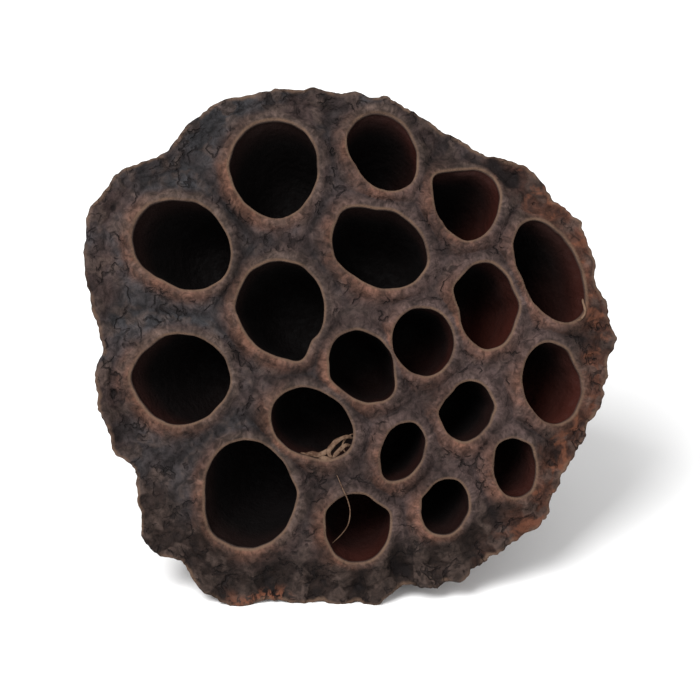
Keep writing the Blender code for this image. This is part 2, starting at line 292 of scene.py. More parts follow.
def lobes(turn):
    """The larger lobes and notches along the bottom of the rim."""
    return sum(bump_at(turn, bump) for bump in RIM_LOBES)


def ruffle(turn):
    return RUFFLE_MM * folds(turn) + lobes(turn)


def rim_radius(turn):
    fold = RIB_SHARE_AT_RIM * RIB_MM * (rib(turn) - RIB_MEAN)
    return smooth_ring(RIM_MM, turn) + fold + ruffle(turn)


def crinkle(turn):
    """The rim's finest, ragged edge, which the solid leaves out. The top is the smoothest."""
    edge = on_circle(turn, MEAN_RIM_MM)
    ragged = 0.78 - 0.22 * np.sin(turn - 0.5)
    coarse = noise_at(edge, CRINKLES_PER_MM)
    fine = FINE_CRINKLE_SHARE * noise_at(edge, 3 * CRINKLES_PER_MM, 4)
    return CRINKLE_MM * ragged * (coarse + fine)


def face_height(spots):
    """Height of the face at points on it, before the collars and the web between them."""
    turn = np.arctan2(spots[:, 1], spots[:, 0])
    share = np.hypot(spots[:, 0], spots[:, 1]) / rim_radius(turn)
    margin = eased((share - MARGIN_FROM) / (1 - MARGIN_FROM))
    drop = MARGIN_DROP_MM * 0.5 * (1 + np.cos(turn - MARGIN_DROP_TOWARDS))
    gutter = GUTTER_MM * np.sin(math.pi * margin)
    return DOME_MM * (1 - share**2) - gutter - margin * (drop - waves(turn, RIM_CURL_MM))


def hole_middle(hole):
    return np.array((hole.across, hole.up))


def hole_outline(hole, count):
    """Points round a hole's edge, from its middle, with its corners and dents."""
    turn = np.arange(count) * math.tau / count
    along = hole.long / 2 * np.cos(turn)
    beside = hole.wide / 2 * np.sin(turn) * (1 - hole.taper * np.cos(turn))
    lean = math.radians(hole.narrow_end)
    outline = np.stack([
        along * math.cos(lean) - beside * math.sin(lean),
        along * math.sin(lean) + beside * math.cos(lean),
    ], axis=1)
    radius = np.hypot(outline[:, 0], outline[:, 1])
    facing = np.arctan2(outline[:, 1], outline[:, 0])
    push = LIP_WOBBLE_MM * noise_at(np.c_[outline + hole_middle(hole), np.zeros(count)], 0.45)
    for bump in hole.bumps:
        push = push + bump_at(facing, bump)
    return outline * ((radius + push) / radius)[:, None]


def hole_steps(hole):
    return 2 * round(math.pi * (hole.long + hole.wide) / 4 / FACE_STEP_MM)


def nearest(spots, points):
    """Distance from each spot to the nearest of the points, in batches that fit in memory."""
    gaps = []
    for batch in np.array_split(spots, max(1, len(spots) // 2000)):
        gaps.append(np.sqrt(((batch[:, None, :] - points[None, :, :]) ** 2).sum(axis=2)).min(axis=1))
    return np.concatenate(gaps)


def collar(gap):
    """Height of a collar at a distance from its hole's lip, above the sunken web."""
    return COLLAR_RISE_MM * np.exp(-(((gap - COLLAR_CREST_MM) / COLLAR_SPREAD_MM) ** 2)) - WEB_SINK_MM


def fold_at(spots, fold):
    """How deep a fold is at each spot: deepest along the line between its ends."""
    start, end = np.array(fold.start), np.array(fold.end)
    along = end - start
    share = np.clip(((spots - start) @ along) / (along @ along), 0.0, 1.0)
    gap = np.hypot(*(spots - start - share[:, None] * along).T)
    return fold.depth * np.exp(-((gap / fold.width) ** 2))


def new_loop(mesh, layers, ring, spots):
    """A closed loop of edges on the flat face, each vertex keeping its place in the loop."""
    verts = bmesh.ops.create_circle(mesh, segments=len(spots), radius=1.0)["verts"]
    for step, (vert, spot) in enumerate(zip(verts, spots)):
        vert.co = (spot[0], spot[1], 0.0)
        vert[layers["ring"]] = ring
        vert[layers["step"]] = step


def fill_face(mesh):
    """Fills the flat sheet between its loops, and splits it into small, even triangles."""
    bmesh.ops.triangle_fill(mesh, use_beauty=True, edges=mesh.edges[:])
    while True:
        inner = [edge for edge in mesh.edges if not edge.is_boundary]
        long_edges = [edge for edge in inner if edge.calc_length() > LONG_EDGE_MM]
        if len(long_edges) < 0.001 * len(inner):
            return
        bmesh.ops.subdivide_edges(mesh, edges=long_edges, cuts=1)
        bmesh.ops.triangulate(mesh, faces=mesh.faces)
        inner = [edge for edge in mesh.edges if not edge.is_boundary]
        bmesh.ops.beautify_fill(mesh, faces=mesh.faces, edges=inner)
        free = [vert for vert in mesh.verts if not vert.is_boundary]
        for _ in range(2):
            bmesh.ops.smooth_vert(mesh, verts=free, factor=0.5, use_axis_x=True, use_axis_y=True)


def raise_face(mesh, layers, hole_loops):
    """Lifts the flat sheet into its dome, collars, creases and folded margin."""
    verts = list(mesh.verts)
    spots = np.array([vert.co.xy for vert in verts])
    flat = np.c_[spots, np.zeros(len(spots))]
    gaps = np.stack([nearest(spots, loop) for loop in hole_loops])
    whose = gaps.argmin(axis=0)
    first, second = np.sort(gaps, axis=0)[:2]
    turn = np.arctan2(spots[:, 1], spots[:, 0])
    inward = np.clip(rim_radius(turn) + crinkle(turn) - np.hypot(spots[:, 0], spots[:, 1]), 0, None)
    away = eased(first / 1.5)
    wander = noise_at(flat, 0.35, 1)
    heights = face_height(spots) + collar(first + COLLAR_WANDER_MM * wander * away)
    heights += WEB_SINK_MM * (1 - eased(inward / 3.0))

    between = np.minimum(second, inward + RIM_AS_LIP_MM) - first + CREASE_WANDER_MM * wander
    broken = eased(0.55 + 1.3 * noise_at(flat, 0.14, 2))
    crease = broken * np.exp(-((between / CREASE_MM) ** 2)) * eased((first - 0.8) / 0.9)
    relief = -CREASE_DEPTH_MM * crease
    rim_near = np.exp(-inward / FOLD_REACH_MM) * away
    bolder = 1 + BOTTOM_FOLDS * eased(-np.sin(turn))
    relief += (FOLD_MM * bolder * folds(turn) + LOBE_FOLD_MM * lobes(turn)) * rim_near
    relief -= sum(fold_at(spots, fold) for fold in DEEP_FOLDS) * away
    relief = np.maximum(relief, -(DEEPEST_AT_RIM_MM + DEEPER_INWARD * inward))
    heights += relief

    middles = np.array([hole_middle(hole) for hole in SEED_HOLES])[whose]
    facing = spots - middles
    lower_left = -(0.78 * facing[:, 0] + 0.62 * facing[:, 1]) / np.hypot(*facing.T)
    warm = np.exp(-first / 2.6) * eased(0.35 + 0.65 * lower_left)
    # Painted shade: where the valley between two collars is darkened.
    valley_shade = np.exp(-(((second - first + 0.6 * wander) / VALLEY_MM) ** 2)) * eased((first - 0.4) / 1.0)
    towards = GRAIN_RADIUS_MM * facing / np.hypot(*facing.T)[:, None]
    grain = np.c_[towards, 0.3 * first + 20.0 * whose]
    for k, vert in enumerate(verts):
        vert.co.z = heights[k]
        vert[layers["from_lip"]] = first[k]
        vert[layers["from_rim"]] = inward[k]
        vert[layers["relief"]] = relief[k]
        vert[layers["warm"]] = warm[k]
        vert[layers["valley_shade"]] = valley_shade[k]
        vert[layers["grain"]] = Vector(grain[k])


def extend(mesh, layers, ring, points):
    """Extrudes a ring of edges, each new vertex going to the point of its step."""
    grown = bmesh.ops.extrude_edge_only(mesh, edges=ring)["geom"]
    for vert in grown:
        if isinstance(vert, bmesh.types.BMVert):
            vert.co = points[vert[layers["step"]]]
    return [edge for edge in grown if isinstance(edge, bmesh.types.BMEdge) and edge.is_boundary]


def ring_verts(ring):
    return {vert for edge in ring for vert in edge.verts}


def mark(ring, layer, value):
    for vert in ring_verts(ring):
        vert[layer] = value


def boundary(mesh, layers, ring):
    edges = [edge for edge in mesh.edges if edge.is_boundary]
    return [edge for edge in edges if all(vert[layers["ring"]] == ring for vert in edge.verts)]


def sink_chamber(mesh, layers, hole, loop, ring):
    """Extrudes a hole's lip down into its seed chamber, and closes its floor."""
    middle = hole_middle(hole)
    outline = loop - middle
    lips = {vert[layers["step"]]: vert.co.z for vert in ring_verts(ring)}
    lip_heights = np.array([lips[step] for step in range(len(loop))])
    floor_height = face_height(middle[None, :])[0]
    small = 1 - hole.long / CHAMBER_FULL_LENGTH_MM
    size = 1 - (1 - CHAMBER_LEAST_DEPTH) * small
    facing = np.arctan2(outline[:, 1], outline[:, 0])
    # Painted light: walls facing LIT_WALL_TOWARDS take more of the hole's red, the far side less.
    lit = 0.6 + 0.4 * np.cos(facing - LIT_WALL_TOWARDS)
    for depth, share in CHAMBER_MM[1:]:
        sunk = depth * size
        level = eased(np.array(depth / 3.0))
        spots = middle * (1 - sunk / CHAMBER_FOCUS_MM) + outline * share
        heights = lip_heights * (1 - level) + floor_height * level - sunk
        ring = extend(mesh, layers, ring, np.c_[spots, heights])
        mark(ring, layers["into_hole"], depth)
        mark(ring, layers["from_lip"], 0.0)
        for vert in ring_verts(ring):
            vert[layers["red"]] = hole.red * lit[vert[layers["step"]]]
    bmesh.ops.contextual_create(mesh, geom=ring)


def axis_shift(depth):
    over = STEM_MM[-1][0] - STEM_BENDS_FROM_MM
    return STEM_BEND_MM * max(0.0, depth - STEM_BENDS_FROM_MM) / over


def flank_points(depth, turn, rim_heights):
    """A ring of the flank, following the rim near the face and round near the neck."""
    to_neck = float(eased(np.array(depth / NECK_MM)))
    outline = smooth_ring(RIM_MM, turn) * (1 - to_neck) + MEAN_RIM_MM * to_neck
    full = RIB_SHARE_AT_RIM + (1 - RIB_SHARE_AT_RIM) * float(eased(np.array(depth / 1.2)))
    fold = full * RIB_MM * (1 - (1 - RIB_SHARE_AT_NECK) * to_neck) * (rib(turn) - RIB_MEAN)
    narrow = 1 - to_neck
    fine = np.abs(np.sin(FINE_RIBS * turn / 2 + waves(turn, RUFFLE_WANDER) + 0.02 * depth))
    fine = FINE_RIB_MM * narrow * (fine - RIB_MEAN) * float(eased(np.array(depth / 5.0)))
    edge = 1 - float(eased(np.array(depth / RUFFLE_ENDS_MM)))
    ragged = edge * (ruffle(turn) + crinkle(turn))
    rise = (1 - float(eased(np.array(depth / RIM_SHAPE_ENDS_MM)))) * rim_heights
    radius = smooth_line(FLANK_MM, depth) * outline + fold + fine + ragged
    points = on_circle(turn, radius)
    points[:, :2] += axis_shift(depth)
    points[:, 2] = rise - depth
    return points


def stem_points(depth, turn):
    points = on_circle(turn, smooth_line(STEM_MM, depth) + 0.12 * np.sin(13 * turn) + 0.08 * np.sin(22 * turn))
    points[:, :2] += axis_shift(depth)
    points[:, 2] = -depth
    return points


def halve(mesh, layers, ring):
    """Merges every other vertex of a ring into its neighbour."""
    at_step = {vert[layers["step"]]: vert for vert in ring_verts(ring)}
    stride = sorted(at_step)[1]
    pairs = {at_step[step]: at_step[step - stride] for step in at_step if step // stride % 2}
    keep = set(at_step.values()) - set(pairs)
    bmesh.ops.weld_verts(mesh, targetmap=pairs)
    edges = {edge for vert in keep for edge in vert.link_edges if edge.is_boundary}
    return list(edges)


def grow_flank(mesh, layers, ring):
    """Extrudes the rim down the flank to the stem's cut end."""
    turn = np.arange(RIM_STEPS) * math.tau / RIM_STEPS
    radius = rim_radius(turn) + crinkle(turn)
    rims = {vert[layers["step"]]: vert.co.z for vert in ring_verts(ring)}
    inner_heights = np.array([rims[step] for step in range(RIM_STEPS)])
    rim_heights = face_height(on_circle(turn, rim_radius(turn)))
    for inward, level in ((0.3, 0.5), (0.08, 0.85)):
        heights = inner_heights * (1 - level) + (rim_heights + 0.1) * level
        ring = extend(mesh, layers, ring, on_circle(turn, radius - inward, heights))
        mark(ring, layers["from_rim"], inward)
    depths = [0.12, 0.35, 0.75, 1.3, 2.0, *np.arange(2.8, NECK_MM - 0.5, FLANK_STEP_MM)]
    halvings = list(HALVED_AT_MM)
    for depth in depths:
        points = flank_points(depth, turn, rim_heights)
        if depth < 0.3:
            points = on_circle(turn, radius, rim_heights - depth)
        ring = extend(mesh, layers, ring, points)
        mark(ring, layers["from_rim"], 0.0)
        mark(ring, layers["down_flank"], depth)
        mark(ring, layers["relief"], 0.0)
        if halvings and depth > halvings[0]:
            halvings.pop(0)
            ring = halve(mesh, layers, ring)
    for depth in np.arange(NECK_MM + 0.5, STEM_MM[-1][0] + 0.01, 0.75):
        ring = extend(mesh, layers, ring, stem_points(depth, turn))
        mark(ring, layers["down_flank"], depth)
    return ring


def close_stem(mesh, layers, ring):
    """The stem's cut end: a dished face with the mouths of its air channels."""
    depth = STEM_MM[-1][0]
    centre = axis_shift(depth)
    edge = {vert[layers["step"]]: vert.co.copy() for vert in ring_verts(ring)}
    for share, dish in ((0.93, -0.05), (0.84, 0.1), (0.72, 0.45), (0.58, 0.75), (0.46, 0.4), (0.34, 0.3), (0.18, 0.7)):
        points = {}
        for step, point in edge.items():
            turn = step * math.tau / RIM_STEPS
            pits = 0.5 - 0.5 * math.cos(8 * turn) if share > 0.4 else 1.0
            sunk = dish * pits if dish > 0 else dish
            spot = centre + (point.xy - centre) * share
            points[step] = Vector((spot.x, spot.y, point.z + sunk))
        ring = extend(mesh, layers, ring, points)
    bmesh.ops.contextual_create(mesh, geom=ring)


def crumple(place, scale):
    """Sharp creases between soft swellings, from -1 in a crease to 1."""
    bent = place + 1.2 * noise.noise_vector(place * 0.3)
    return 1 - 2.6 * abs(noise.noise(bent * scale))


def wrinkle(mesh, layers):
    """Pushes every vertex along its normal by the skin's wrinkles and fibres."""
    mesh.normal_update()
    pushes = []
    for vert in mesh.verts:
        place = vert.co
        down = vert[layers["down_flank"]]
        into = vert[layers["into_hole"]]
        if down > 0.2:
            turn = math.atan2(place.y, place.x)
            grain = Vector((16 * math.cos(turn), 16 * math.sin(turn), 0.05 * down))
            fibres = 1 - 2 * abs(noise.noise(grain * 0.8)) + 0.5 * noise.noise(grain * 2.2)
            dents = noise.noise(place * 0.22) + 0.5 * noise.noise(place * 0.6)
            narrow = 1 - 0.75 * min(down / NECK_MM, 1.0)
            push = (0.30 * fibres + 0.3 * dents) * narrow * min(1.0, down / 2.0)
        elif into > 0:
            push = 0.16 * noise.noise(place * 0.5) * min(1.0, into / 1.5)
        else:
            open_web = min(1.0, vert[layers["from_lip"]] / 2.2)
            near_rim = max(0.0, 1 - vert[layers["from_rim"]] / 9.0)
            push = (0.17 + 0.12 * near_rim) * open_web * crumple(place, 0.36)
            push += (0.03 + 0.07 * open_web) * crumple(place, 0.85)
            push += 0.05 * noise.noise(place * 2.1)
            push *= 0.35 + 0.65 * min(1.0, vert[layers["from_rim"]] / 0.8)
            push = max(push, -0.05 - 0.12 * vert[layers["from_rim"]])
        pushes.append(push)
    for vert, push in zip(list(mesh.verts), pushes):
        vert.co += vert.normal * push
        vert[layers["relief"]] += push


def set_grain(mesh, layers):
    """The flank's streaks run along its ribs. On the face they run out from each lip."""
    for vert in mesh.verts:
        down = vert[layers["down_flank"]]
        if down > 0:
            turn = math.atan2(vert.co.y, vert.co.x)
            vert[layers["grain"]] = Vector((14 * math.cos(turn), 14 * math.sin(turn), 0.06 * down))


def laid_down():
    """From the pod's own frame to where the solid lies."""
    return Matrix.Translation(FACE_MIDDLE_MM) @ Matrix.Rotation(math.radians(TIP_DEG), 4, "X")


def trim_at_table(mesh):
    """Cuts the low points flat where the pod touches the table."""
    everything = [*mesh.verts, *mesh.edges, *mesh.faces]
    table = {"plane_co": (0, 0, 0), "plane_no": (0, 0, 1)}
    cut = bmesh.ops.bisect_plane(mesh, geom=everything, dist=1e-5, clear_inner=True, **table)
    rims = [edge for edge in cut["geom_cut"] if isinstance(edge, bmesh.types.BMEdge)]
    bmesh.ops.holes_fill(mesh, edges=rims)


def as_object(name, mesh, material):
    """A finished piece at the origin, in metres, riding with the pod."""
    bmesh.ops.scale(mesh, vec=(MM, MM, MM), verts=mesh.verts)
    data = bpy.data.meshes.new(name)
    mesh.to_mesh(data)
    mesh.free()
    data.shade_smooth()
    data.materials.append(material)
    piece = bpy.data.objects.new(name, data)
    bpy.context.collection.objects.link(piece)
    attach(piece, "root")
    return piece


def build_skin():
    """The whole pod as one closed mesh, in millimetres."""
    mesh = bmesh.new()
    layers = {name: mesh.verts.layers.int.new(name) for name in ("ring", "step")}
    for name in ("from_lip", "into_hole", "from_rim", "down_flank", "relief", "warm", "valley_shade", "red"):
        layers[name] = mesh.verts.layers.float.new(name)
    layers["grain"] = mesh.verts.layers.float_vector.new("grain")

    turn = np.arange(RIM_STEPS) * math.tau / RIM_STEPS
    rim_loop = on_circle(turn, rim_radius(turn) + crinkle(turn) - 0.6)[:, :2]
    hole_loops = [hole_middle(hole) + hole_outline(hole, hole_steps(hole)) for hole in SEED_HOLES]
    for ring, loop in enumerate([rim_loop, *hole_loops]):
        new_loop(mesh, layers, ring, loop)
    fill_face(mesh)
    raise_face(mesh, layers, hole_loops)
    rim = boundary(mesh, layers, 0)
    lips = [boundary(mesh, layers, k + 1) for k in range(len(SEED_HOLES))]
    for hole, loop, lip in zip(SEED_HOLES, hole_loops, lips):
        sink_chamber(mesh, layers, hole, loop, lip)
    close_stem(mesh, layers, grow_flank(mesh, layers, rim))
    bmesh.ops.recalc_face_normals(mesh, faces=mesh.faces)
    set_grain(mesh, layers)
    wrinkle(mesh, layers)
    mesh.transform(laid_down())
    trim_at_table(mesh)
    return mesh


def smooth_path(points, step):
    """Points a step apart on a smooth curve through the given ones."""
    padded = [2 * points[0] - points[1], *points, 2 * points[-1] - points[-2]]
    path = []
    for before, here, after, beyond in zip(padded, padded[1:], padded[2:], padded[3:]):
        count = max(2, round((after - here).length / step))
        for k in range(count):
            t = k / count
            curve = 2 * before - 5 * here + 4 * after - beyond
            twist = 3 * (here - after) + beyond - before
            path.append(here + 0.5 * t * (after - before + t * (curve + t * twist)))
    return [*path, points[-1]]


def add_shred(mesh, layers, shred):
    """A thin, flat strip of dry membrane, narrower at its ends, extruded along its path."""
    knots = []
    for across, up, over in shred.points:
        level = face_height(np.array([[across, up]]))[0]
        knots.append(Vector((across, up, level + over)))
    path = smooth_path(knots, SHRED_STEP_MM)
    ring = []
    for k, point in enumerate(path):
        along = path[min(k + 1, len(path) - 1)] - path[max(k - 1, 0)]
        aside = along.cross(Vector((0, 0, 1))).normalized()
        over = aside.cross(along).normalized()
        swell = 0.45 + 0.55 * math.sin(math.pi * k / (len(path) - 1)) + 0.3 * noise.noise(point * 0.9)
        points = []
        for side in range(SHRED_SIDES):
            angle = math.tau * side / SHRED_SIDES
            wide = aside * math.cos(angle) * swell * shred.width / 2
            points.append(point + wide + over * math.sin(angle) * shred.thickness / 2)
        if ring:
            ring = extend(mesh, layers, ring, points)
            continue
        verts = bmesh.ops.create_circle(mesh, segments=SHRED_SIDES, radius=1.0)["verts"]
        for side, vert in enumerate(verts):
            vert[layers["step"]] = side
            vert.co = points[side]
        ring = list({edge for vert in verts for edge in vert.link_edges})
        start = ring
    bmesh.ops.contextual_create(mesh, geom=start)
    bmesh.ops.contextual_create(mesh, geom=ring)


def build_shreds(shreds):
    mesh = bmesh.new()
    layers = {"step": mesh.verts.layers.int.new("step")}
    for shred in shreds:
        add_shred(mesh, layers, shred)
    bmesh.ops.recalc_face_normals(mesh, faces=mesh.faces)
    mesh.transform(laid_down())
    return mesh


class Nodes:
    """A short way to write a material's node tree."""

    def __init__(self, name):
        self.material = bpy.data.materials.new(name)
        self.material.use_nodes = True
        self.tree = self.material.node_tree
        self.shader = self.tree.nodes["Principled BSDF"]

    def add(self, kind, inputs=None, **settings):
        node = self.tree.nodes.new("ShaderNode" + kind)
        for key, value in settings.items():
            setattr(node, key, value)
        for key, value in (inputs or {}).items():
            self.set(node.inputs[key], value)
        return node

    def set(self, socket, value):
        if isinstance(value, bpy.types.NodeSocket):
            self.tree.links.new(value, socket)
        else:
            socket.default_value = value

    def attribute(self, name, output="Fac"):
        return self.add("Attribute", attribute_name=name).outputs[output]

    def ramp(self, value, low, high, start=0.0, end=1.0):
        """Maps a value from low..high to start..end, clamped and eased."""
        inputs = {"Value": value, "From Min": low, "From Max": high, "To Min": start, "To Max": end}
        return self.add("MapRange", inputs, interpolation_type="SMOOTHSTEP").outputs["Result"]

    def math(self, operation, a, b=0.0):
        return self.add("Math", {0: a, 1: b}, operation=operation).outputs[0]

    def times(self, a, b):
        return self.math("MULTIPLY", a, b)

    def noise(self, vector, scale, detail=4.0, roughness=0.6, distortion=0.0):
        inputs = {"Vector": vector, "Scale": scale, "Detail": detail, "Roughness": roughness}
        inputs["Distortion"] = distortion
        return self.add("TexNoise", inputs).outputs["Fac"]

    def mix(self, share, a, b, blend="MIX"):
        node = self.add("Mix", data_type="RGBA", blend_type=blend)
        self.set(node.inputs["Factor"], share)
        self.set(node.inputs["A"], a)
        self.set(node.inputs["B"], b)
        return node.outputs["Result"]


# Colours of the dry skin, in linear values.
WEB_TAUPE = (0.0275, 0.0182, 0.0168, 1)
PALE_TAUPE = (0.046, 0.0300, 0.0276, 1)
WEB_PAINTED_SHADE = (0.0082, 0.0060, 0.0060, 1)
COLLAR_TAUPE = (0.048, 0.0330, 0.0276, 1)
BLUISH_GREY = (0.0225, 0.0235, 0.0260, 1)
WARM_TAN = (0.096, 0.042, 0.026, 1)
LIP_TAN = (0.112, 0.069, 0.047, 1)
MARGIN_BROWN = (0.048, 0.020, 0.013, 1)
SKIRT_BROWN_AND_SHADE = (0.0125, 0.0080, 0.0066, 1)
TIP_ORANGE = (0.125, 0.047, 0.026, 1)
HOLE_RED = (0.034, 0.0062, 0.0034, 1)
HOLE_WALL_SHADE = (0.0060, 0.0020, 0.0015, 1)
HOLE_DEEP_SHADE = (0.0012, 0.0005, 0.0005, 1)
FLANK_BROWN = (0.062, 0.038, 0.030, 1)
FLANK_RED = (0.115, 0.044, 0.028, 1)
FLANK_GREY = (0.120, 0.102, 0.100, 1)
FLANK_OCHRE = (0.17, 0.100, 0.055, 1)
FLANK_CREASE_SHADE = (0.010, 0.007, 0.006, 1)
STUB_TAN = (0.34, 0.215, 0.115, 1)
NECK_ORANGE = (0.22, 0.095, 0.030, 1)
MEMBRANE_STRAW = (0.135, 0.085, 0.056, 1)
MEMBRANE_BROWN = (0.05, 0.025, 0.015, 1)


def cracks(n, place):
    """Thin, wandering cracks in the open web, at 1."""
    wander = n.noise(place, 210.0, 3.0, 0.55, 0.2)
    line = n.math("ABSOLUTE", n.math("SUBTRACT", wander, 0.5))
    open_web = n.times(n.ramp(n.attribute("from_lip"), 0.9, 2.0), n.ramp(n.attribute("down_flank"), 0.1, 0.4, 1.0, 0.0))
    broken = n.ramp(n.noise(place, 330.0, 2.0), 0.44, 0.60)
    return n.times(n.ramp(line, 0.002, 0.030, 1.0, 0.0), n.times(open_web, broken))


def web_colour(n, place, grain, patchy, broad, crack):
    """The face: taupe collars and darker web, bluish at the upper left and brown at the rim, darker brown as partly
    painted shade along the bottom margin, with painted shade in the valleys, cracks and low creases and painted light
    on raised wrinkles.
    """
    from_lip = n.attribute("from_lip")
    from_rim = n.attribute("from_rim")
    relief = n.attribute("relief")
    across, _, up = n.add("SeparateXYZ", {0: place}).outputs
    mottle = n.noise(place, 640.0, 4.0, 0.68, 0.8)
    blotch = n.noise(place, 300.0, 3.0, 0.6, 0.5)
    ticks = n.noise(grain, 1.7, 3.0, 0.6)

    collar_edge = n.math("ADD", from_lip, n.ramp(blotch, 0.3, 0.7, -0.8, 0.8))
    web = n.mix(n.ramp(collar_edge, 0.5, 2.2), COLLAR_TAUPE, WEB_TAUPE)
    upper_left = n.ramp(n.math("SUBTRACT", up, across), 0.0, 0.075, 0.25, 1.0)
    bluish = n.times(upper_left, n.times(n.ramp(broad, 0.42, 0.62), n.ramp(from_lip, 1.0, 2.6)))
    web = n.mix(n.times(bluish, 0.85), web, BLUISH_GREY)
    pale_side = n.times(n.ramp(across, -0.016, 0.012), n.ramp(from_rim, 5.0, 10.0))
    web = n.mix(n.times(pale_side, 0.75), web, PALE_TAUPE)
    warm = n.times(n.attribute("warm"), n.ramp(from_lip, 3.4, 1.6, 0.3, 1.0))
    web = n.mix(n.times(warm, n.ramp(patchy, 0.35, 0.6, 0.3, 0.9)), web, WARM_TAN)
    # Partly real brown and partly painted shade: darker along the bottom margin, which turns downward.
    shaded_skirt = n.times(n.ramp(up, 0.026, 0.012), n.ramp(from_rim, 10.0, 5.0))
    web = n.mix(n.times(shaded_skirt, n.ramp(from_lip, 0.5, 1.6, 0.1, 0.92)), web, SKIRT_BROWN_AND_SHADE)
    brown = n.times(n.ramp(across, 0.018, 0.034), n.ramp(from_rim, 7.0, 2.5))
    web = n.mix(n.times(brown, n.ramp(patchy, 0.3, 0.6, 0.4, 1.0)), web, MARGIN_BROWN)
    # Painted shade: darker in the valleys between collars, less so on the pale side.
    valley_shade = n.times(n.attribute("valley_shade"), n.ramp(pale_side, 0.0, 1.0, 1.0, 0.5))
    web = n.mix(n.times(valley_shade, n.ramp(blotch, 0.3, 0.7, 0.75, 0.3)), web, WEB_PAINTED_SHADE)
    # Painted light: raised wrinkles and folds are lighter.
    web = n.mix(n.ramp(relief, 0.06, 0.34, 0.0, 0.6), web, COLLAR_TAUPE)
    web = n.mix(1.0, web, n.ramp(mottle, 0.30, 0.70, 0.50, 1.55), "MULTIPLY")
    web = n.mix(1.0, web, n.ramp(n.noise(place, 130.0, 2.0), 0.35, 0.65, 0.72, 1.22), "MULTIPLY")
    ticked = n.mix(1.0, web, n.ramp(ticks, 0.3, 0.7, 0.72, 1.28), "MULTIPLY")
    web = n.mix(n.ramp(from_lip, 2.2, 0.8), web, ticked)
    # Painted shade: the cracks are darker.
    web = n.mix(n.times(crack, 0.7), web, WEB_PAINTED_SHADE)

    edge_worn = n.ramp(n.noise(place, 260.0, 3.0), 0.36, 0.62)
    beside = n.math("ABSOLUTE", n.math("ADD", across, 0.015))
    tips = n.times(n.ramp(beside, 0.0065, 0.003), n.ramp(up, 0.008, 0.004))
    tips = n.times(tips, n.ramp(mottle, 0.42, 0.55))
    web = n.mix(n.times(tips, n.ramp(from_rim, 3.0, 0.5)), web, TIP_ORANGE)
    flushed = n.times(brown, n.ramp(blotch, 0.52, 0.66, 0.0, 0.75))
    web = n.mix(flushed, web, TIP_ORANGE)
    # Painted shade: darker in low creases and folds.
    web = n.mix(n.ramp(relief, -0.08, -0.7, 0.0, 0.95), web, WEB_PAINTED_SHADE)
    web = n.mix(n.times(n.ramp(from_rim, 0.75, 0.1, 0.0, 0.8), edge_worn), web, LIP_TAN)
    lip = n.times(n.ramp(from_lip, 0.55, 0.1), n.ramp(patchy, 0.3, 0.62, 0.3, 1.0))
    return n.mix(lip, web, LIP_TAN)


def chamber_colour(n):
    """The seed chambers: a worn lip, then dark red walls, redder on the side painted as lit and brown as painted shade
    elsewhere, that fade to black as painted shade deeper in.
    """
    into_hole = n.attribute("into_hole")
    # Painted light and shade: brown where the wall is painted as shaded, red where the red attribute, which carries the
    # painted lit side, is high.
    wall = n.mix(n.attribute("red"), HOLE_WALL_SHADE, HOLE_RED)
    # Painted shade: the walls go black deeper in, less so on the painted lit side.
    deep_shade = n.times(n.ramp(into_hole, 1.0, 7.0), n.ramp(n.attribute("red"), 0.1, 1.0, 1.0, 0.25))
    wall = n.mix(deep_shade, wall, HOLE_DEEP_SHADE)
    return n.mix(n.ramp(into_hole, 0.6, 0.12, 0.0, 0.8), wall, COLLAR_TAUPE)


def flank_colour(n, grain, patchy, down_flank):
    """The flank: streaks of brown, grey and red along the ribs, with painted shade in the low streaks, paler at the cut
    stem.
    """
    streaks = n.noise(grain, 1.6, 6.0, 0.66)
    long_patches = n.noise(grain, 0.5, 4.0, 0.6)
    threads = n.noise(grain, 5.5, 5.0, 0.65)
    flank = n.mix(n.ramp(streaks, 0.35, 0.7), FLANK_BROWN, FLANK_GREY)
    flank = n.mix(n.ramp(long_patches, 0.5, 0.72, 0.0, 0.7), flank, FLANK_RED)
    flank = n.mix(n.ramp(patchy, 0.6, 0.85, 0.0, 0.5), flank, FLANK_OCHRE)
    flank = n.mix(n.ramp(threads, 0.52, 0.68, 0.0, 0.45), flank, FLANK_OCHRE)
    # Painted shade: darker in the low threads and streaks.
    flank = n.mix(n.ramp(threads, 0.47, 0.34, 0.0, 0.6), flank, FLANK_CREASE_SHADE)
    flank = n.mix(n.ramp(streaks, 0.42, 0.3, 0.0, 0.7), flank, FLANK_CREASE_SHADE)
    flank = n.mix(n.ramp(down_flank, 51.0, 56.0, 0.0, 0.9), flank, NECK_ORANGE)
    stub = n.mix(n.ramp(patchy, 0.4, 0.65, 0.0, 0.5), STUB_TAN, NECK_ORANGE)
    # Painted shade: the stub is darker brown in its low threads.
    stub = n.mix(n.ramp(threads, 0.47, 0.34, 0.0, 0.4), stub, FLANK_BROWN)
    return n.mix(n.ramp(down_flank, 58.0, 63.0), flank, stub), n.math("ADD", streaks, n.times(threads, 0.7))


